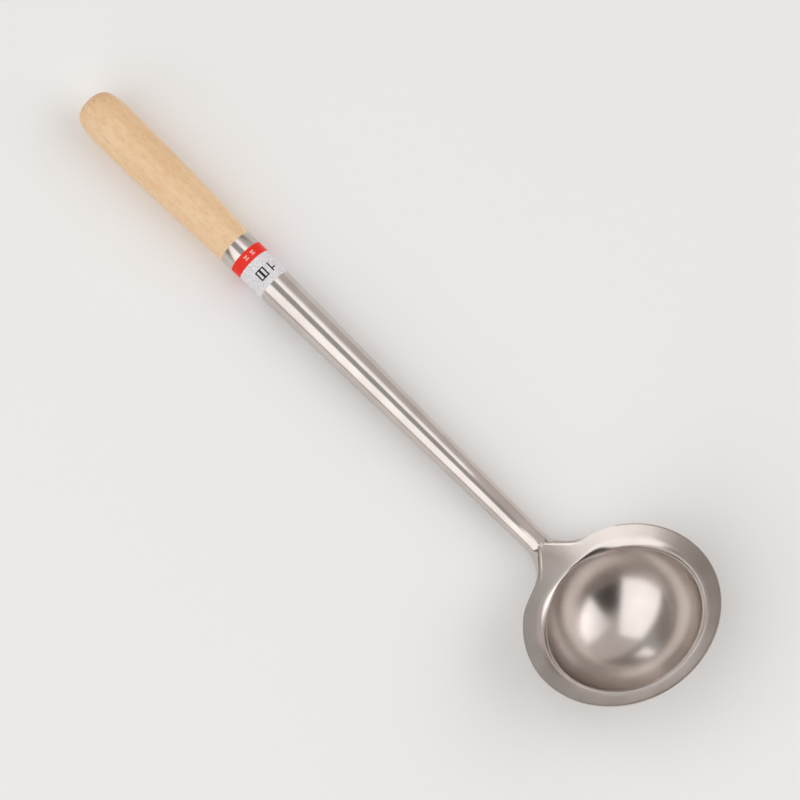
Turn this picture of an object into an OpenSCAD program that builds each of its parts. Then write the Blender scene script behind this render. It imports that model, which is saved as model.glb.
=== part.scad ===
/* [Bowl] */
// Outside diameter of the rim
rim_d = 115; // [100:0.5:140]
// Depth from the rim to the inside of the bottom
bowl_depth = 43; // [36:0.5:50]
// Width of the flared lip around the mouth, seen from above
lip_w = 12; // [9:0.5:14]
// Slope of the lip down towards the mouth, in degrees
lip_slope = 12; // [8:1:18]
// Rounding where the lip turns down into the wall, on the inside
mouth_r = 5; // [3:0.5:6]
// Thickness of the steel sheet
sheet = 1; // [0.8:0.1:1.2]

/* [Neck and tube] */
// Angle between the rim and the handle, in degrees
handle_angle = 25; // [20:1:28]
// How far the flat web reaches outside the rim before the tube begins
web_reach = 9.6; // [8:0.2:12]
// Length of the rolled tube, from the point of the web to its open end
tube_len = 252; // [180:1:310]
// Outside diameter of the tube at the neck
tube_d_neck = 13.5; // [12:0.5:16.5]
// Outside diameter of the tube at its open end
tube_d_end = 23.1; // [20:0.1:28]
// Gap left along the rolled seam on the underside
seam_gap = 0.4; // [0.2:0.1:0.8]
// Length of the stretch near the neck where the seam opens into a V
seam_v_len = 12; // [8:1:20]

/* [Wooden handle] */
// Length of the turned wood outside the tube
wood_len = 124; // [90:1:160]
// Diameter of the wood at its fullest
wood_d_max = 28.4; // [26:0.1:36]
// Distance from the butt to the fullest place
belly_from_butt = 19; // [16:1:30]
// Diameter of the flat at the butt
butt_flat_d = 10; // [6:0.5:12]
// Rounding around the butt
butt_r = 8; // [6:0.5:8.5]
// How far the wood's shoulder sits below the tube's skin
shoulder_step = 0.1; // [0:0.05:0.4]
// Length of the tapered tenon inside the tube
tenon_len = 70; // [40:1:100]
// Play between the tenon and the tube, on the radius
tenon_play = 0.05; // [0.02:0.01:0.15]

/* [Nail] */
// Diameter of the nail's shank
nail_d = 1.8; // [1.4:0.1:2.5]
// Diameter of the nail's head
nail_head_d = 4; // [3.4:0.1:5.5]
// Thickness of the nail's head
nail_head_h = 0.8; // [0.5:0.1:1.2]
// Length of the shank
nail_len = 14; // [8:0.5:16]
// Distance from the tube's open end to the nail
nail_from_end = 48; // [36:1:60]
// Angle from the seam around to the nail, in degrees
nail_turn = 40; // [30:1:60]

/* [Size label] */
// Width of the label along the tube
label_w = 24.5; // [12:0.5:30]
// Bare steel left between the label and the tube's open end
label_from_end = 8.5; // [4:0.5:12]
// Thickness of the label
label_t = 0.12; // [0.08:0.01:0.2]
// How far round the tube the label reaches, in degrees
label_wrap = 300; // [220:5:330]

/* [Hidden] */
$fn = 96;

// The bowl stands in a frame of its own while it is drawn: the rim lies in the plane z = 0,
// its centre is the origin and the handle leaves towards -x, rising by handle_angle.
rim_r = rim_d / 2;
mouth_edge_r = rim_r - lip_w;
mouth_edge_z = -lip_w * tan(lip_slope);
cap_h = bowl_depth + mouth_edge_z;
bowl_r = (mouth_edge_r * mouth_edge_r + cap_h * cap_h) / (2 * cap_h);
bowl_cz = bowl_r - bowl_depth;
bowl_outer_r = bowl_r + sheet;

// Centre of the rounding between lip and wall: mouth_r under the lip's top line and
// mouth_r outside the ball of the bowl.
round_x0 = rim_r + mouth_r * sin(lip_slope);
round_z0 = -mouth_r * cos(lip_slope) - bowl_cz;
round_b = round_x0 * cos(lip_slope) + round_z0 * sin(lip_slope);
round_c = round_x0 * round_x0 + round_z0 * round_z0 - pow(bowl_r + mouth_r, 2);
round_u = round_b - sqrt(round_b * round_b - round_c);
round_x = round_x0 - round_u * cos(lip_slope);
round_z = round_z0 + bowl_cz - round_u * sin(lip_slope);
wall_a = atan2(round_z - bowl_cz, round_x);
arc_steps = 30;
round_steps = 8;

function arc(cx, cz, r, a0, a1, n) =
    [for (i = [0 : n]) [cx + r * cos(a0 + (a1 - a0) * i / n), cz + r * sin(a0 + (a1 - a0) * i / n)]];

// Frame along the handle: the web's point, the tube's axis and the direction of the handle
apex_x = -(rim_r + web_reach);
apex_z = web_reach * tan(lip_slope);
neck_r = tube_d_neck / 2;
axis_x = apex_x - neck_r * sin(handle_angle);
axis_z = apex_z - neck_r * cos(handle_angle);
butt_at = tube_len + wood_len;
belly_at = butt_at - belly_from_butt;
tube_grow = (tube_d_end - tube_d_neck) / 2 / tube_len;
function tube_r(l) = neck_r + tube_grow * l;

// Arcs of the wood's outline
shoulder_r = tube_d_end / 2 - shoulder_step;
belly_r = wood_d_max / 2;
belly_run = belly_at - tube_len;
belly_arc_r = (pow(belly_run, 2) + pow(belly_r - shoulder_r, 2)) / (2 * (belly_r - shoulder_r));
butt_in = belly_from_butt - butt_r;
butt_drop = belly_r - butt_flat_d / 2;
butt_arc_r = (pow(butt_in, 2) + pow(butt_drop, 2) - pow(butt_r, 2)) / (2 * (butt_drop - butt_r));
butt_turn = atan2(butt_in, butt_arc_r - butt_drop);

// At rest the ladle lies on the ball of the bowl and on the belly of the wood. lean is the tilt
// of the rim that makes both touch the floor, found as the common tangent of two circles.
function tangent_lean(bx, bz, br) =
    atan2(bz - bowl_cz, bx) + acos((bowl_outer_r - br) / norm([bx, bz - bowl_cz]));
function along_x(l, v) = axis_x - l * cos(handle_angle) + v * sin(handle_angle);
function along_z(l, v) = axis_z + l * sin(handle_angle) + v * cos(handle_angle);
function belly_lean(r, sink) =
    270 - tangent_lean(along_x(belly_at, sink), along_z(belly_at, sink), r);
lean_front = belly_lean(belly_arc_r, belly_arc_r - belly_r);
lean_back = belly_lean(butt_arc_r, butt_arc_r - belly_r);
lean = lean_front < handle_angle ? lean_front : lean_back;

// Lowest, nearest and furthest places, which put the origin under the middle of the box
rim_far_x = rim_r * cos(lean) + sheet / cos(lip_slope) * sin(lean);
butt_end_x = along_x(butt_at - butt_r, 0) * cos(lean) - along_z(butt_at - butt_r, 0) * sin(lean)
    - butt_r - butt_flat_d / 2 * abs(sin(lean - handle_angle));
floor_z = bowl_cz * cos(lean) - bowl_outer_r;
middle_x = (rim_far_x + butt_end_x) / 2;

// Puts what is drawn in the bowl's frame into the lying position
module lying() {
    translate([-middle_x, 0, -floor_z])
    rotate([0, -lean, 0])
    children();
}

// Puts what is drawn along +z from the neck onto the handle's axis; +x becomes the top side
module from_neck() {
    translate([axis_x, 0, axis_z])
    rotate([0, handle_angle - 90, 0])
    children();
}
module on_handle() {
    lying()
    from_neck()
    children();
}

// The bowl stops short where the neck's sheet takes over the lip
module bowl_shell() {
    difference() {
        rotate_extrude()
        polygon(concat(
            [[rim_r, 0]],
            arc(round_x, round_z, mouth_r, 90 + lip_slope, 180 + wall_a, round_steps),
            arc(0, bowl_cz, bowl_r, wall_a, -90, arc_steps),
            arc(0, bowl_cz, bowl_outer_r, -90, wall_a, arc_steps),
            arc(round_x, round_z, mouth_r - sheet, 180 + wall_a, 90 + lip_slope, round_steps),
            [[rim_r, -sheet / cos(lip_slope)]]
        ));
        from_neck()
        translate([-rim_d / 2, -rim_d / 2, -join_d])
        cube([rim_d, rim_d, rim_d]);
    }
}

// The neck is a sheet of steel that opens from the round tube into a flat web between two
// rounded rails, which run out into the lip. It is a loft of sections square to the handle.
// d is the distance from the web's point towards the bowl; a point is [sideways, up].
rail_w = 4.1;
rail_top = 1.6;
rail_rise = 0.45;
rail_drop = 2.1;
hide = 0.12;
join_d = 15.5;
neck_end = join_d + 0.5;
web_pts = 8;
ramp_pts = 3;
bend_pts = 7;
flange_pts = 2;
ramp_at = web_pts;
bend_at = ramp_at + ramp_pts;
flange_at = bend_at + bend_pts;
half_pts = flange_at + flange_pts;
neck_stations = [-seam_v_len - 4, -seam_v_len, -9, -6, -4, -2, 0, 2, 4, 6, 8, 10, 12, 14, neck_end];

function smooth(x) = x <= 0 ? 0 : x >= 1 ? 1 : x * x * (3 - 2 * x);
function mix(a, b, k) = a + (b - a) * k;
function fade(d) = smooth((join_d - d) / 7);
function gauge(d) = sheet - 2 * hide * smooth(-d / 8) - 2 * hide * smooth((d - 10) / 5);

// Round tube: half a ring, open along the seam
function ring_r(d) = tube_r(-d) - hide * smooth(-d / 8);
function seam_a(d) = mix(180 - asin((seam_gap / 2 + hide) / ring_r(d)), 128,
    smooth((d + seam_v_len) / (seam_v_len + 4)));
function ring_pt(d, i, in) =
    (ring_r(d) - in) * [sin(seam_a(d) * i / half_pts), cos(seam_a(d) * i / half_pts)];

// Web and rails: the web follows the lip's slope and takes up its round shape near the bowl
function web_v(d) = neck_r + max(d, 0) * tan(handle_angle - lip_slope);
function lip_v(d, y) =
    let (x = along_x(-d, web_v(d)), z = along_z(-d, web_v(d)), r = norm([x, y]))
    ((r - rim_r) * tan(lip_slope) - z)
        / (cos(handle_angle) + tan(lip_slope) * sin(handle_angle) * abs(x) / r);
function rim_y(d) =
    let (x = apex_x + (d - apex_z * sin(handle_angle)) / cos(handle_angle))
    sqrt(rim_r * rim_r - x * x);
function half_w(d) =
    max(d, 0) + rail_w + (rim_y(neck_end) - 0.15 - neck_end - rail_w) * pow(max(d, 0) / neck_end, 6);
function top_v(d, y) = web_v(d) + lip_v(d, y) * smooth((d - 6) / 8) - hide * smooth(d / 8);
function flange_end(d) =
    mix(-0.65 * neck_r, top_v(d, half_w(d)) - gauge(d) - 0.3, smooth(d / 14));
function channel_pt(d, i, in) =
    let (c = max(d, 0), w = half_w(d), rise = rail_rise * fade(d), drop = max(rail_drop * fade(d), in))
    let (bend_y = c + rail_top, edge_v = top_v(d, w))
    i <= ramp_at ? let (y = c * i / web_pts) [y, top_v(d, y) - in] :
    i <= bend_at ? let (k = (i - ramp_at) / ramp_pts, y = c + rail_top * k)
        [y, top_v(d, y) + rise * smooth(k) - in] :
    i <= flange_at ? let (a = 90 * (i - bend_at) / bend_pts, y = bend_y + (w - bend_y - in) * sin(a))
        [y, top_v(d, y) - drop + (rise + drop - in) * cos(a)] :
    [w - in, mix(edge_v - drop, flange_end(d), (i - flange_at) / flange_pts)];

function skin_pt(d, i, in) = mix(ring_pt(d, i, in), channel_pt(d, i, in), smooth((d + 5) / 9));
function flip_y(p) = [-p[0], p[1]];
function section(d) = concat(
    [for (i = [half_pts : -1 : 1]) flip_y(skin_pt(d, i, 0))],
    [for (i = [0 : half_pts]) skin_pt(d, i, 0)],
    [for (i = [half_pts : -1 : 0]) skin_pt(d, i, gauge(d))],
    [for (i = [1 : half_pts]) flip_y(skin_pt(d, i, gauge(d)))]
);
ring_n = 4 * half_pts + 2;
strip_n = 2 * half_pts;

module neck() {
    pts = [for (d = neck_stations) for (p = section(d)) [p[1], p[0], -d]];
    last = (len(neck_stations) - 1) * ring_n;
    sides = [for (s = [0 : len(neck_stations) - 2]) for (i = [0 : ring_n - 1])
        let (a = s * ring_n + i, b = s * ring_n + (i + 1) % ring_n)
        each [[a, b, b + ring_n], [a, b + ring_n, a + ring_n]]];
    ends = [for (i = [0 : strip_n - 1])
        let (a = i, b = i + 1, e = ring_n - 1 - i, f = ring_n - 2 - i)
        each [[a, f, b], [a, e, f], [last + a, last + b, last + f], [last + a, last + f, last + e]]];
    polyhedron(points = pts, faces = concat(sides, ends), convexity = 8);
}

module tube() {
    difference() {
        translate([0, 0, seam_v_len])
        cylinder(h = tube_len - seam_v_len, r1 = tube_r(seam_v_len), r2 = tube_r(tube_len));
        translate([0, 0, seam_v_len - 1])
        cylinder(h = tube_len - seam_v_len + 2,
            r1 = tube_r(seam_v_len - 1) - sheet, r2 = tube_r(tube_len + 1) - sheet);
        translate([-tube_d_end, -seam_gap / 2, 0])
        cube([tube_d_end, seam_gap, tube_len + 1]);
    }
}

// Places what is drawn pointing outwards along +z where the nail goes through the tube
nail_at = tube_len - nail_from_end;
nail_skin_r = tube_r(nail_at);
module at_nail() {
    translate([0, 0, nail_at])
    rotate([0, 0, 180 - nail_turn])
    rotate([0, 90, 0])
    children();
}

module ladle_body() {
    color("lightgray") {
        lying()
        bowl_shell();
        on_handle() {
            neck();
            difference() {
                tube();
                at_nail()
                cylinder(h = nail_skin_r + 2, d = nail_d, $fn = 24);
            }
        }
    }
}

module wooden_handle() {
    tenon_at = tube_len - tenon_len;
    color("burlywood")
    on_handle()
    difference() {
        rotate_extrude()
        polygon(concat(
            [[0, tenon_at]],
            [[tube_r(tenon_at) - sheet - tenon_play - 1.5, tenon_at]],
            [[tube_r(tenon_at + 1.5) - sheet - tenon_play, tenon_at + 1.5]],
            [[tube_r(tube_len) - sheet - tenon_play, tube_len]],
            [for (i = [0 : 16]) let (l = mix(tube_len, belly_at, i / 16))
                [belly_r - belly_arc_r + sqrt(pow(belly_arc_r, 2) - pow(belly_at - l, 2)), l]],
            [for (i = [1 : 6]) let (a = butt_turn * i / 6)
                [belly_r - butt_arc_r * (1 - cos(a)), belly_at + butt_arc_r * sin(a)]],
            [for (i = [1 : 10]) let (a = mix(butt_turn, 90, i / 10))
                [butt_flat_d / 2 + butt_r * cos(a), butt_at - butt_r + butt_r * sin(a)]],
            [[0, butt_at]]
        ));
        at_nail()
        translate([0, 0, nail_skin_r - nail_len])
        cylinder(h = nail_len + 2, d = nail_d, $fn = 24);
    }
}

module handle_nail() {
    color("silver")
    on_handle()
    at_nail()
    translate([0, 0, nail_skin_r - nail_len]) {
        cylinder(h = nail_len, d = nail_d, $fn = 24);
        translate([0, 0, nail_len])
        cylinder(h = nail_head_h, d = nail_head_d, $fn = 36);
    }
}

module size_label() {
    label_b = tube_len - label_from_end;
    label_a = label_b - label_w;
    open_a = (360 - label_wrap) / 2;
    wedge = tube_d_end * 2;
    color("crimson")
    on_handle()
    difference() {
        translate([0, 0, label_a])
        cylinder(h = label_w, r1 = tube_r(label_a) + label_t, r2 = tube_r(label_b) + label_t);
        translate([0, 0, label_a - 1])
        cylinder(h = label_w + 2, r1 = tube_r(label_a - 1), r2 = tube_r(label_b + 1));
        translate([0, 0, label_a - 1])
        linear_extrude(height = label_w + 2)
        polygon([[0, 0], wedge * [-cos(open_a), sin(open_a)], wedge * [-cos(open_a), -sin(open_a)]]);
    }
}

ladle_body();
wooden_handle();
handle_nail();
size_label();
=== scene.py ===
import math
import bpy
import bmesh
from mathutils import Matrix, Vector


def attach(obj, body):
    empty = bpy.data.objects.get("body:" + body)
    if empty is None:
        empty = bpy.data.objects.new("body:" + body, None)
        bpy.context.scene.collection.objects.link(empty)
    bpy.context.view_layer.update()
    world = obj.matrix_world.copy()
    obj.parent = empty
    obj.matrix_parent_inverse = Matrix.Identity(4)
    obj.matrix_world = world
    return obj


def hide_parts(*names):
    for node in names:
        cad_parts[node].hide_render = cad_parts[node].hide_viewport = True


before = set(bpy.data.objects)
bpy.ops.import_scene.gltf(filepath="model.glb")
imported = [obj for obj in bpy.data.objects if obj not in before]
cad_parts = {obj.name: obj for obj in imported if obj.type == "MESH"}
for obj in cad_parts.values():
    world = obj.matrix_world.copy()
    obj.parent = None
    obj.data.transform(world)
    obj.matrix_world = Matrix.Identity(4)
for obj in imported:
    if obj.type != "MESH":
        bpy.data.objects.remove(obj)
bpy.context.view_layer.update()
bpy.ops.object.select_all(action="DESELECT")

# ---------------------------------------------------------------- the steel ladle
# The ladle is one piece of stainless sheet, 1 mm thick: a pressed bowl with a flared lip, a
# flat web between two rounded ribs at the neck, and a tail that is rolled into a tapering tube
# with its seam underneath. It is buffed to a satin finish all over.
mm = 0.001
# Sizes here are in millimetres, and the rim is the edge of the sheet's upper face. The bowl rounds
# over into its lip, more tightly where the web comes in.
rim_r, lip_w, lip_slope = 57.3, 11.8, math.radians(12)
bowl_depth, mouth_r, neck_mouth_r, sheet = 43.0, 6.5, 1.3, 1.0
mouth_x, mouth_z = rim_r - lip_w, -lip_w * math.tan(lip_slope)
ball_r = (mouth_x ** 2 + (bowl_depth + mouth_z) ** 2) / (2 * (bowl_depth + mouth_z))
ball_z = ball_r - bowl_depth
handle_angle, web_reach = math.radians(25), 9.8
tube_len, neck_r, end_r = 252.0, 6.75, 11.55
seam_v_len, seam_gap, seam_open_turn = 12.0, 0.4, math.radians(128)
apex = Vector((-(rim_r + web_reach), 0, web_reach * math.tan(lip_slope)))
up = Vector((math.sin(handle_angle), 0, math.cos(handle_angle)))
to_bowl = Vector((math.cos(handle_angle), 0, -math.sin(handle_angle)))
# It lies on the bowl's underside and on the grip, with the bowl leaning toward the handle.
lean, rim_centre_x, rim_centre_z = math.radians(24.5534), 192.618, 44.2546
lying = (Matrix.Scale(mm, 4) @ Matrix.Translation((rim_centre_x, 0, rim_centre_z))
         @ Matrix.Rotation(-lean, 4, "Y"))


def ease(x):
    x = min(max(x, 0.0), 1.0)
    return x * x * (3 - 2 * x)


def mix(a, b, k):
    return a + (b - a) * k


def through(points, x):
    """Smooth curve through (x, value) points."""
    n = len(points)
    i = max(0, min(n - 2, sum(1 for p in points[1:-1] if p[0] <= x)))
    (x0, y0), (x1, y1) = points[i], points[i + 1]
    m0 = (y1 - points[i - 1][1]) / (x1 - points[i - 1][0]) if i > 0 else (y1 - y0) / (x1 - x0)
    m1 = (points[i + 2][1] - y0) / (points[i + 2][0] - x0) if i < n - 2 else (y1 - y0) / (x1 - x0)
    h, t = x1 - x0, min(max((x - x0) / (x1 - x0), 0.0), 1.0)
    return ((2 * t ** 3 - 3 * t ** 2 + 1) * y0 + (t ** 3 - 2 * t ** 2 + t) * h * m0
            + (3 * t ** 2 - 2 * t ** 3) * y1 + (t ** 3 - t ** 2) * h * m1)


# Half of the outline seen from above: (distance from the web's point, half width)
outline = [(-13, 6.9), (-6, 6.95), (-2, 7.35), (1, 8.1), (4, 9.5), (7, 11.5), (10, 14.1), (12.5, 17.0),
           (14.4, 20.2), (16.3, 24.2), (18.2, 28.6), (20.8, 33.5), (23.12, 36.83)]
join_turn = math.radians(40)
join_y = rim_r * math.sin(join_turn)
join_mid, bend_starts = 13.5, 4
cols_web, cols_ramp, cols_bend, cols_side = 12, 6, 14, 12
cols_top = cols_web + cols_ramp + cols_bend
cols = cols_top + cols_side
rail_rise, rail_ramp, rail_drop = 0.5, 1.8, 2.6


def tube_r(d):
    return neck_r - (end_r - neck_r) * min(d, 0.0) / tube_len


def half_width(d):
    return mix(tube_r(d), through(outline, d), ease((d + 13) / 7))


def flat_half(d):
    """Half width of the sunken flat of the web."""
    return 0.92 * (d + math.sqrt(d * d + 4)) / 2 * ease((d + 8) / 6)


def rail(d):
    """Ramp width, rise and drop of the rounded rib along each edge, dying out toward the rim."""
    full, left = ease((d + 1.5) / 5), ease((16 - d) / 8)
    drop = mix(tube_r(d), rail_drop, ease((d + 2) / 11))
    return rail_ramp * full, rail_rise * full * left, drop * left


def height(d, y):
    """How far the sheet stands above the web's plane, d along it and y sideways."""
    flat, (ramp, rise, drop) = flat_half(d), rail(d)
    if y <= flat:
        return 0.0
    if y <= flat + ramp:
        return rise * ease((y - flat) / ramp)
    k = min((y - flat - ramp) / (half_width(d) - flat - ramp), 1.0)
    return rise - (drop + rise) * (1 - math.sqrt(1 - k * k))


def ladle_point(d_mid, col):
    """A point of the tube, neck or web; each row across bows from d_mid to d_edge at its ends."""
    t = max(d_mid - bend_starts, 0.0) / (join_mid - bend_starts)
    d_edge = d_mid if d_mid <= bend_starts else mix(bend_starts, outline[-1][0], t)
    w = half_width(d_edge)

    def row_d(y):
        return mix(d_mid, d_edge, (y / w) ** 1.5)

    flat = flat_half(d_mid)
    for _ in range(12):
        flat = flat_half(row_d(flat))
    ramp = rail(row_d(flat))[0]
    if col <= cols_web:
        y = flat * col / cols_web
    elif col <= cols_web + cols_ramp:
        y = flat + ramp * (col - cols_web) / cols_ramp
    elif col <= cols_top:
        a = math.pi / 2 * (col - cols_web - cols_ramp) / cols_bend
        y = flat + ramp + (w - flat - ramp) * math.sin(a)
    else:
        y = w
    even = w * math.sin(math.pi / 2 * min(col / cols_top, 1.0))
    k = ease((t - 0.25) / 0.75)
    y = mix(mix(even, y, ease((d_mid + 6) / 8)), w * col / cols, k)
    d = row_d(y)
    rise = height(d, y)
    if col > cols_top:
        r, drop, far = tube_r(d), rail(d_edge)[2], (col - cols_top) / cols_side
        end = mix(math.pi - math.asin(seam_gap / 2 / r), seam_open_turn,
                  ease((d + seam_v_len) / (seam_v_len + 4)))
        turn = mix(math.pi / 2, end, far)
        deep = mix(-1.65 * neck_r - d_edge * math.tan(handle_angle - lip_slope), -0.02,
                   ease(d_edge / 15))
        open_up = ease((d + 4) / 8)
        y = mix(y - (1 - open_up) * r * (1 - math.sin(turn)), y, k)
        side = mix(-drop + r * math.cos(turn), mix(-drop, min(deep, -drop), far), open_up)
        rise = mix(side, rise, k)
    on_tube = apex + to_bowl * d + up * (tube_r(d) - neck_r) + Vector((0, y, 0))
    x = apex.x + d * (to_bowl.x + math.tan(handle_angle - lip_slope) * up.x)
    on_web = Vector((x, y, (math.hypot(x, y) - rim_r) * math.tan(lip_slope)))
    return on_tube.lerp(on_web, ease((d + 3.5) / 7)) + up * rise


def lip_round(turn):
    """Centre and radius of the rounding at the mouth, tighter where the web comes in."""
    r = mix(neck_mouth_r, mouth_r, ease((abs(turn) - 0.12) / 0.45))
    x0, z0 = rim_r + r * math.sin(lip_slope), -r * math.cos(lip_slope) - ball_z
    b = x0 * math.cos(lip_slope) + z0 * math.sin(lip_slope)
    u = b - math.sqrt(b * b - (x0 * x0 + z0 * z0 - (ball_r + r) ** 2))
    return x0 - u * math.cos(lip_slope), z0 + ball_z - u * math.sin(lip_slope), r


rows_lip, rows_round, rows_wall, rim_steps = 8, 9, 34, 144


def bowl_profile(turn, start):
    """From start down to the bottom: lip, rounding and ball, as (radius, height)."""
    cx, cz, r = lip_round(turn)
    wall = math.atan2(cz - ball_z, cx)
    x_top = cx - r * math.sin(lip_slope)
    pts = []
    for i in range(1, rows_lip + 1):
        x = mix(start, x_top, i / rows_lip)
        pts.append((x, (x - rim_r) * math.tan(lip_slope)))
    for i in range(1, rows_round + 1):
        a = mix(math.pi / 2 + lip_slope, math.pi + wall, i / rows_round)
        pts.append((cx + r * math.cos(a), cz + r * math.sin(a)))
    for i in range(1, rows_wall + 1):
        a = mix(wall, -math.pi / 2, i / rows_wall)
        pts.append((ball_r * math.cos(a), ball_z + ball_r * math.sin(a)))
    return pts


def make_ladle_sheet():
    bm = bmesh.new()
    # tube, neck and web: one row of points for each station, from the open end to the rim
    stations = [-tube_len + i * (tube_len - 16) / 30 for i in range(31)]
    stations += [i * 0.5 for i in range(-31, 8)]
    stations += [mix(bend_starts, join_mid, i / 32) for i in range(33)]
    rows = []
    for d in stations:
        row = []
        for c in range(-cols, cols + 1):
            p = ladle_point(d, abs(c))
            row.append(bm.verts.new((p.x, -p.y if c < 0 else p.y, p.z)))
        rows.append(row)
    for a, b in zip(rows, rows[1:]):
        for c in range(2 * cols):
            bm.faces.new((a[c], b[c], b[c + 1], a[c + 1]))
    # bowl: the last row is part of its rim
    turns = []
    for c in range(-cols, cols + 1):
        p = rows[-1][c + cols].co
        turns.append((math.atan2(p.y, -p.x), math.hypot(p.x, p.y), rows[-1][c + cols]))
    for i in range(1, rim_steps):
        a = join_turn + (2 * math.pi - 2 * join_turn) * i / rim_steps
        turns.append((a, rim_r, bm.verts.new((-rim_r * math.cos(a), rim_r * math.sin(a), 0))))
    rings = [[v for _, _, v in turns]]
    spokes = [bowl_profile(a if a <= math.pi else 2 * math.pi - a, start) for a, start, _ in turns]
    for j in range(rows_lip + rows_round + rows_wall - 1):
        rings.append([bm.verts.new((-s[j][0] * math.cos(t[0]), s[j][0] * math.sin(t[0]), s[j][1]))
                      for t, s in zip(turns, spokes)])
    n = len(turns)
    for a, b in zip(rings, rings[1:]):
        for i in range(n):
            bm.faces.new((a[i], b[i], b[(i + 1) % n], a[(i + 1) % n]))
    pole = bm.verts.new((0, 0, -bowl_depth))
    for i in range(n):
        bm.faces.new((rings[-1][i], pole, rings[-1][(i + 1) % n]))
    bm.normal_update()
    me = bpy.data.meshes.new("ladle_sheet")
    bm.to_mesh(me)
    bm.free()
    me.transform(lying)
    return me


ladle = bpy.data.objects.new("ladle_sheet", make_ladle_sheet())
bpy.context.scene.collection.objects.link(ladle)
bpy.context.view_layer.objects.active = ladle
ladle.select_set(True)
wall = ladle.modifiers.new("wall", "SOLIDIFY")
wall.thickness = sheet * mm
wall.offset = -1
wall.use_even_offset = True
bpy.ops.object.modifier_apply(modifier="wall")
edge = ladle.modifiers.new("edge", "BEVEL")
edge.width = 0.2 * mm
edge.segments = 2
edge.limit_method = "ANGLE"
edge.angle_limit = math.radians(60)
bpy.ops.object.modifier_apply(modifier="edge")
bpy.ops.object.shade_smooth_by_angle(angle=math.radians(40))


def satin_steel():
    mat = bpy.data.materials.new("satin_steel")
    mat.use_nodes = True
    nt = mat.node_tree
    shader = nt.nodes["Principled BSDF"]
    shader.inputs["Metallic"].default_value = 1.0
    place = nt.nodes.new("ShaderNodeTexCoord")
    # buffing lines, long along the handle
    lines_at = nt.nodes.new("ShaderNodeMapping")
    lines_at.inputs["Scale"].default_value = (60, 3500, 3500)
    lines = nt.nodes.new("ShaderNodeTexNoise")
    lines.inputs["Scale"].default_value = 1.0
    lines.inputs["Detail"].default_value = 3.0
    nt.links.new(place.outputs["Object"], lines_at.inputs["Vector"])
    nt.links.new(lines_at.outputs["Vector"], lines.inputs["Vector"])
    # slow unevenness of the rolled and pressed sheet
    dents = nt.nodes.new("ShaderNodeTexNoise")
    dents.inputs["Scale"].default_value = 55.0
    dents.inputs["Detail"].default_value = 1.0
    nt.links.new(place.outputs["Object"], dents.inputs["Vector"])
    tone = nt.nodes.new("ShaderNodeValToRGB")
    tone.color_ramp.elements[0].position = 0.3
    tone.color_ramp.elements[0].color = (0.59, 0.54, 0.51, 1)
    tone.color_ramp.elements[1].position = 0.7
    tone.color_ramp.elements[1].color = (0.66, 0.61, 0.58, 1)
    nt.links.new(dents.outputs["Fac"], tone.inputs["Fac"])
    nt.links.new(tone.outputs["Color"], shader.inputs["Base Color"])
    rough = nt.nodes.new("ShaderNodeMapRange")
    rough.inputs["To Min"].default_value = -0.03
    rough.inputs["To Max"].default_value = 0.03
    nt.links.new(lines.outputs["Fac"], rough.inputs["Value"])
    # the tube is polished brighter than the bowl
    apart = nt.nodes.new("ShaderNodeSeparateXYZ")
    nt.links.new(place.outputs["Object"], apart.inputs["Vector"])
    along = nt.nodes.new("ShaderNodeMapRange")
    along.inputs["From Min"].default_value = 0.11
    along.inputs["From Max"].default_value = 0.15
    along.inputs["To Min"].default_value = 0.17
    along.inputs["To Max"].default_value = 0.22
    nt.links.new(apart.outputs["X"], along.inputs["Value"])
    both = nt.nodes.new("ShaderNodeMath")
    both.operation = "ADD"
    nt.links.new(along.outputs["Result"], both.inputs[0])
    nt.links.new(rough.outputs["Result"], both.inputs[1])
    nt.links.new(both.outputs["Value"], shader.inputs["Roughness"])
    wave = nt.nodes.new("ShaderNodeBump")
    wave.inputs["Strength"].default_value = 0.05
    wave.inputs["Distance"].default_value = 0.002
    nt.links.new(dents.outputs["Fac"], wave.inputs["Height"])
    fine = nt.nodes.new("ShaderNodeBump")
    fine.inputs["Strength"].default_value = 0.02
    fine.inputs["Distance"].default_value = 0.0001
    nt.links.new(lines.outputs["Fac"], fine.inputs["Height"])
    nt.links.new(wave.outputs["Normal"], fine.inputs["Normal"])
    nt.links.new(fine.outputs["Normal"], shader.inputs["Normal"])
    return mat


steel = satin_steel()
ladle.data.materials.append(steel)
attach(ladle, "root")
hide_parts("ladle_body")

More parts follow.
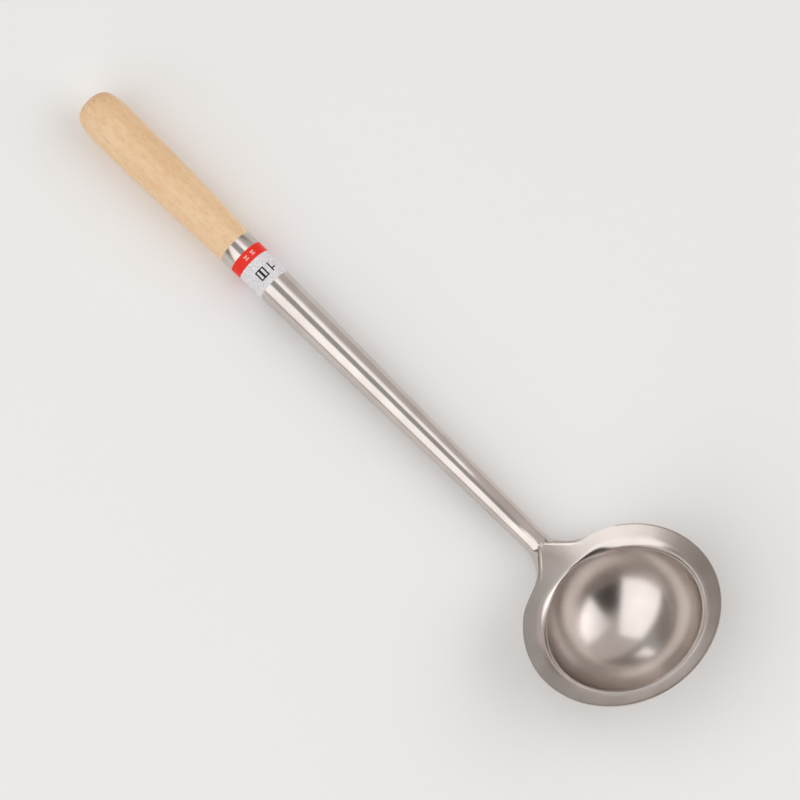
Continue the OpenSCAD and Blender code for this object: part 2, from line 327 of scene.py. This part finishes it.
# ---------------------------------------------------------------- the wooden grip
# A plain turned grip of pale wood, sanded and left bare. It swells to a belly near the rounded
# butt, and its tapered tenon is driven into the open end of the tube.
def bare_wood():
    mat = bpy.data.materials.new("bare_turned_wood")
    mat.use_nodes = True
    nt = mat.node_tree
    link = nt.links.new
    shader = nt.nodes["Principled BSDF"]
    place = nt.nodes.new("ShaderNodeTexCoord")

    def noise(scale, detail, rough=0.5):
        at = nt.nodes.new("ShaderNodeMapping")
        at.inputs["Scale"].default_value = scale
        link(place.outputs["Object"], at.inputs["Vector"])
        n = nt.nodes.new("ShaderNodeTexNoise")
        n.inputs["Scale"].default_value = 1.0
        n.inputs["Detail"].default_value = detail
        n.inputs["Roughness"].default_value = rough
        link(at.outputs["Vector"], n.inputs["Vector"])
        return n.outputs["Fac"]

    def ramp(fac, low, high, low_at, high_at):
        r = nt.nodes.new("ShaderNodeValToRGB")
        r.color_ramp.elements[0].position = low_at
        r.color_ramp.elements[0].color = (*low, 1)
        r.color_ramp.elements[1].position = high_at
        r.color_ramp.elements[1].color = (*high, 1)
        link(fac, r.inputs["Fac"])
        return r.outputs["Color"]

    def over(base, top, amount):
        m = nt.nodes.new("ShaderNodeMix")
        m.data_type = "RGBA"
        m.blend_type = "MULTIPLY"
        if isinstance(amount, float):
            m.inputs["Factor"].default_value = amount
        else:
            link(amount, m.inputs["Factor"])
        link(base, m.inputs["A"])
        link(top, m.inputs["B"])
        return m.outputs["Result"]

    broad = ramp(noise((14, 70, 70), 3), (0.86, 0.60, 0.355), (0.93, 0.69, 0.45), 0.32, 0.68)
    mottle = ramp(noise((160, 260, 260), 3, 0.6), (0.96, 0.90, 0.84), (1, 1, 1), 0.35, 0.6)
    grain = ramp(noise((22, 420, 420), 4, 0.6), (0.93, 0.89, 0.84), (1, 1, 1), 0.35, 0.6)
    pores = ramp(noise((260, 1900, 1900), 2), (0.80, 0.70, 0.62), (1, 1, 1), 0.3, 0.42)
    # end grain shows as short dark flecks round the butt
    flecks = ramp(noise((700, 1500, 1500), 2), (0.62, 0.48, 0.36), (1, 1, 1), 0.36, 0.46)
    apart = nt.nodes.new("ShaderNodeSeparateXYZ")
    link(place.outputs["Object"], apart.inputs["Vector"])
    butt = nt.nodes.new("ShaderNodeMapRange")
    butt.inputs["From Min"].default_value = -0.245
    butt.inputs["From Max"].default_value = -0.222
    butt.inputs["To Min"].default_value = 0.6
    butt.inputs["To Max"].default_value = 0.0
    link(apart.outputs["X"], butt.inputs["Value"])
    colour = over(over(over(broad, grain, 0.6), mottle, 1.0), pores, 0.5)
    colour = over(colour, flecks, butt.outputs["Result"])
    link(colour, shader.inputs["Base Color"])
    shader.inputs["Roughness"].default_value = 0.5
    shader.inputs["Specular IOR Level"].default_value = 0.35
    bump = nt.nodes.new("ShaderNodeBump")
    bump.inputs["Strength"].default_value = 0.25
    bump.inputs["Distance"].default_value = 0.0002
    link(noise((60, 1500, 1500), 3), bump.inputs["Height"])
    link(bump.outputs["Normal"], shader.inputs["Normal"])
    return mat


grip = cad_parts["wooden_handle"]
grip.data.materials.clear()
grip.data.materials.append(bare_wood())

# ---------------------------------------------------------------- the nail
# One round-headed steel nail goes in from the underside, beside the seam, through the tube and
# into the tenon, and keeps the grip from turning or pulling out.
nail_r, nail_head, nail_shank, nail_tip = 2.0, 0.8, 12.6, 1.4
nail_at, nail_turn = tube_len - 48, math.radians(180 - 40)
axis_from = apex - up * neck_r
nail_out = up * math.cos(nail_turn) + Vector((0, math.sin(nail_turn), 0))
nail_foot = axis_from - to_bowl * nail_at
nail_skin = neck_r + (end_r - neck_r) * nail_at / tube_len
bpy.ops.mesh.primitive_cylinder_add(vertices=32, radius=nail_r, depth=nail_head,
                                    location=(0, 0, nail_skin + nail_head / 2))
nail = bpy.context.object
nail.name = "nail"
bpy.ops.object.transform_apply(location=True, rotation=True, scale=True)
bpy.ops.object.mode_set(mode="EDIT")
bm = bmesh.from_edit_mesh(nail.data)
for f in bm.faces:
    f.select = f.normal.z > 0.9
for e in bm.edges:
    e.select = all(v.co.z > nail_skin + 0.7 for v in e.verts)
bmesh.update_edit_mesh(nail.data)
bpy.ops.mesh.bevel(offset=0.45, segments=4, profile=0.6)
bpy.ops.mesh.select_all(action="DESELECT")
bm = bmesh.from_edit_mesh(nail.data)
for f in bm.faces:
    f.select = f.normal.z < -0.9
bmesh.update_edit_mesh(nail.data)
bpy.ops.mesh.inset(thickness=1.1)
bpy.ops.mesh.extrude_region_move(TRANSFORM_OT_translate={"value": (0, 0, -nail_shank)})
bpy.ops.mesh.extrude_region_move(TRANSFORM_OT_translate={"value": (0, 0, -nail_tip)})
bpy.ops.transform.resize(value=(0.15, 0.15, 1),
                         center_override=(0, 0, nail_skin - nail_shank - nail_tip))
bpy.ops.object.mode_set(mode="OBJECT")
across = nail_out.cross(to_bowl)
stand = Matrix((to_bowl, across, nail_out)).transposed().to_4x4()
stand.translation = nail_foot
nail.data.transform(lying @ stand)
bpy.ops.object.shade_smooth_by_angle(angle=math.radians(35))
nail.data.materials.append(steel)
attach(nail, "root")
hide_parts("handle_nail")

# ---------------------------------------------------------------- the size label
# A printed film wrapped most of the way round the tube, just below its open end: a red band,
# and a silvery speckled part with plain black marks.
label_len, label_back, film_t = 24.5, 8.5, 0.12
label_b = tube_len - label_back
label_a, red_from = label_b - label_len, label_b - 7.2
marks_a, marks_b, stroke = label_a + 4.4, label_a + 10.9, 0.8
bpy.ops.object.select_all(action="DESELECT")
bpy.ops.mesh.primitive_cylinder_add(vertices=144, radius=1.0, depth=label_len, end_fill_type="NOTHING",
                                    location=(0, 0, (label_a + label_b) / 2))
label = bpy.context.object
label.name = "size_label_film"
bpy.ops.object.transform_apply(location=True, rotation=True, scale=True)
bpy.ops.object.mode_set(mode="EDIT")
cuts = [red_from + step for step in (0, 2.3, 3.2, 4.1, 5.0)]
cuts += [marks_a + step for step in (0, stroke, 1.7, 2.5, 3.4)] + [marks_b - stroke, marks_b]
for cut in cuts:
    bpy.ops.mesh.select_all(action="SELECT")
    bpy.ops.mesh.bisect(plane_co=(0, 0, cut), plane_no=(0, 0, 1))
bpy.ops.mesh.select_all(action="DESELECT")
bm = bmesh.from_edit_mesh(label.data)
for f in bm.faces:
    c = f.calc_center_median()
    f.select = abs(math.atan2(c.y, c.x)) > math.radians(150)
bmesh.update_edit_mesh(label.data)
bpy.ops.mesh.delete(type="FACE")
bpy.ops.object.mode_set(mode="OBJECT")
for v in label.data.vertices:
    skin = neck_r + (end_r - neck_r) * v.co.z / tube_len + film_t
    a = math.atan2(v.co.y, v.co.x)
    v.co.x, v.co.y = skin * math.cos(a), skin * math.sin(a)


def film(name, colour, metallic, roughness, speckle=None):
    mat = bpy.data.materials.new(name)
    mat.use_nodes = True
    nt = mat.node_tree
    shader = nt.nodes["Principled BSDF"]
    shader.inputs["Metallic"].default_value = metallic
    shader.inputs["Roughness"].default_value = roughness
    shader.inputs["Specular IOR Level"].default_value = 0.2
    place = nt.nodes.new("ShaderNodeTexCoord")
    flecks = nt.nodes.new("ShaderNodeTexNoise")
    flecks.inputs["Scale"].default_value = 1500.0
    flecks.inputs["Detail"].default_value = 2.0
    nt.links.new(place.outputs["Object"], flecks.inputs["Vector"])
    tone = nt.nodes.new("ShaderNodeValToRGB")
    tone.color_ramp.elements[0].position = 0.42
    tone.color_ramp.elements[1].position = 0.56
    tone.color_ramp.elements[0].color = (*(speckle or colour), 1)
    tone.color_ramp.elements[1].color = (*colour, 1)
    nt.links.new(flecks.outputs["Fac"], tone.inputs["Fac"])
    nt.links.new(tone.outputs["Color"], shader.inputs["Base Color"])
    return mat


for mat in (film("silver_film", (0.90, 0.88, 0.91), 0.0, 0.4, (0.62, 0.61, 0.65)),
            film("red_print", (0.92, 0.03, 0.015), 0.0, 0.4, (0.84, 0.028, 0.014)),
            film("black_print", (0.02, 0.02, 0.02), 0.0, 0.45),
            film("pale_print", (0.85, 0.45, 0.38), 0.0, 0.4)):
    label.data.materials.append(mat)


def within(x, a, b):
    return a < x < b


for f in label.data.polygons:
    z, a = f.center.z, math.degrees(math.atan2(f.center.y, f.center.x))
    f.material_index = 0
    if z > red_from:
        f.material_index = 1
        if within(z, red_from + 2.3, red_from + 5.0) and (within(a, -17, -5) or within(a, 7, 19)):
            bar = within(z, red_from + 3.2, red_from + 4.1)
            stem = within(a, -13, -9) or within(a, 11, 15)
            f.material_index = 3 if stem or not bar else 1
    elif within(z, marks_a, marks_b):
        if within(a, -27, 5):
            edge_here = z < marks_a + stroke or z > marks_b - stroke or a < -22 or a > 0
            if edge_here or within(a, -14, -8):
                f.material_index = 2
        elif within(a, 19, 25) or (within(a, 25, 37) and within(z, marks_a + 1.7, marks_a + 2.5)):
            f.material_index = 2
film_wall = label.modifiers.new("film", "SOLIDIFY")
film_wall.thickness = film_t
film_wall.offset = -1
bpy.ops.object.modifier_apply(modifier="film")
along = Matrix((up, Vector((0, 1, 0)), -to_bowl)).transposed().to_4x4()
along.translation = axis_from
label.data.transform(lying @ along)
bpy.ops.object.shade_smooth_by_angle(angle=math.radians(35))
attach(label, "root")
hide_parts("size_label")

# ---------------------------------------------------------------- studio
# Plain pale floor, camera and soft lights; none of them is part of the object.
bpy.ops.object.select_all(action="DESELECT")
bpy.ops.mesh.primitive_plane_add(size=6, location=(0, 0, 0))
floor = bpy.context.object
floor.name = "floor"
floor_mat = bpy.data.materials.new("pale_floor")
floor_mat.use_nodes = True
floor_mat.node_tree.nodes["Principled BSDF"].inputs["Base Color"].default_value = (0.92, 0.92, 0.92, 1)
floor_mat.node_tree.nodes["Principled BSDF"].inputs["Roughness"].default_value = 0.9
floor.data.materials.append(floor_mat)

# The camera's own axes in the bowl's frame: right, down and forward; then the rim's centre seen
# from the camera.
right_b = Vector((0.63033, 0.71242, -0.30845))
down_b = Vector((0.52823, -0.68475, -0.50209))
fwd_b = Vector((-0.56891, 0.15355, -0.80794))
rim_seen = Vector((123.75, 119.41, 2001.92))
turn_lean = Matrix.Rotation(-lean, 3, "Y")
right, down, fwd = (turn_lean @ v for v in (right_b, down_b, fwd_b))
rim_centre = lying @ Vector((0, 0, 0))
eye = rim_centre - (right * rim_seen.x + down * rim_seen.y + fwd * rim_seen.z) * mm
cam_data = bpy.data.cameras.new("camera")
cam_data.sensor_width = 36
cam_data.lens = 161.0
cam_data.clip_start = 0.05
cam = bpy.data.objects.new("camera", cam_data)
bpy.context.scene.collection.objects.link(cam)
m = Matrix((right, -down, -fwd)).transposed().to_4x4()
m.translation = eye
cam.matrix_world = m
bpy.context.scene.camera = cam

world = bpy.data.worlds.new("studio")
bpy.context.scene.world = world
world.use_nodes = True
world.node_tree.nodes["Background"].inputs["Color"].default_value = (1.0, 0.93, 0.88, 1)
bpy.context.scene.view_settings.view_transform = "Standard"

# Soft lit panels over the table, lying level at a given height; their corners are the slopes,
# along x and y, at which the bowl sees them.
bowl_x = 0.19


def panel(name, corners, bright, height=2.5, edge=None, outer=0.42, colour=(1.0, 0.99, 0.98)):
    me = bpy.data.meshes.new(name)
    me.from_pydata([(bowl_x + x * height, y * height, height) for x, y in corners], [],
                   [range(len(corners))])
    card = bpy.data.objects.new(name, me)
    bpy.context.scene.collection.objects.link(card)
    mat = bpy.data.materials.new(name)
    mat.use_nodes = True
    nt = mat.node_tree
    nt.nodes.remove(nt.nodes["Principled BSDF"])
    glow = nt.nodes.new("ShaderNodeEmission")
    glow.inputs["Color"].default_value = (*colour, 1)
    glow.inputs["Strength"].default_value = bright
    nt.links.new(glow.outputs["Emission"], nt.nodes["Material Output"].inputs["Surface"])
    if edge:
        # brightest at a middle point and fading outward
        (mid_x, mid_y), (wide_x, wide_y) = edge
        place = nt.nodes.new("ShaderNodeTexCoord")
        at = nt.nodes.new("ShaderNodeMapping")
        at.vector_type = "TEXTURE"
        at.inputs["Location"].default_value = (bowl_x + mid_x * height, mid_y * height, height)
        at.inputs["Scale"].default_value = (wide_x * height, wide_y * height, 1)
        off = nt.nodes.new("ShaderNodeVectorMath")
        off.operation = "LENGTH"
        fall = nt.nodes.new("ShaderNodeMapRange")
        fall.interpolation_type = "SMOOTHSTEP"
        fall.inputs["From Min"].default_value = 0.2
        fall.inputs["From Max"].default_value = 1.0
        fall.inputs["To Min"].default_value = bright
        fall.inputs["To Max"].default_value = outer
        nt.links.new(place.outputs["Object"], at.inputs["Vector"])
        nt.links.new(at.outputs["Vector"], off.inputs[0])
        nt.links.new(off.outputs["Value"], fall.inputs["Value"])
        nt.links.new(fall.outputs["Result"], glow.inputs["Strength"])
    me.materials.append(mat)
    card.visible_camera = False
    return card


panel("key", [(-0.3, 0.28), (-1.0, 0.0), (-1.0, -4.2), (3.4, -6.0), (3.4, -4.0)], 1.5)
panel("side", [(0.0, 0.2), (4.4, 0.2), (4.4, 4.4), (0.0, 4.4)], 2.2,
      edge=((1.2, 1.25), (1.9, 1.8)), outer=0.5)
panel("fill", [(-7.0, -4.0), (-1.1, -4.0), (-1.1, 4.0), (-7.0, 4.0)], 0.28, colour=(1.0, 0.88, 0.78))
# Two low cards over the tube, which show in reflections only: a grey one, and a bright one that
# starts sharply and dies away sideways.
for card in (panel("tube_gap", [(-3.75, -0.37), (-0.8, -0.37), (-0.8, 0.125), (-3.75, 0.125)], 0.4,
                   height=0.1),
             panel("tube_side", [(-3.75, 0.16), (-1.25, 0.16), (-1.25, 0.75), (-3.75, 0.75)], 1.5,
                   height=0.1, edge=((-2.0, 0.16), (30.0, 0.65)), outer=0.6)):
    card.visible_diffuse = card.visible_shadow = False

# The room: dim, and darkest over the far side of the bowl
nt = world.node_tree
look = nt.nodes.new("ShaderNodeTexCoord")
toward = nt.nodes.new("ShaderNodeVectorMath")
toward.operation = "DOT_PRODUCT"
toward.inputs[1].default_value = (0.77, -0.36, 0.53)
near = nt.nodes.new("ShaderNodeMapRange")
near.interpolation_type = "SMOOTHSTEP"
near.inputs["From Min"].default_value = math.cos(math.radians(62))
near.inputs["From Max"].default_value = math.cos(math.radians(36))
near.inputs["To Min"].default_value = 0.62
near.inputs["To Max"].default_value = 0.06
nt.links.new(look.outputs["Generated"], toward.inputs[0])
nt.links.new(toward.outputs["Value"], near.inputs["Value"])
nt.links.new(near.outputs["Result"], nt.nodes["Background"].inputs["Strength"])
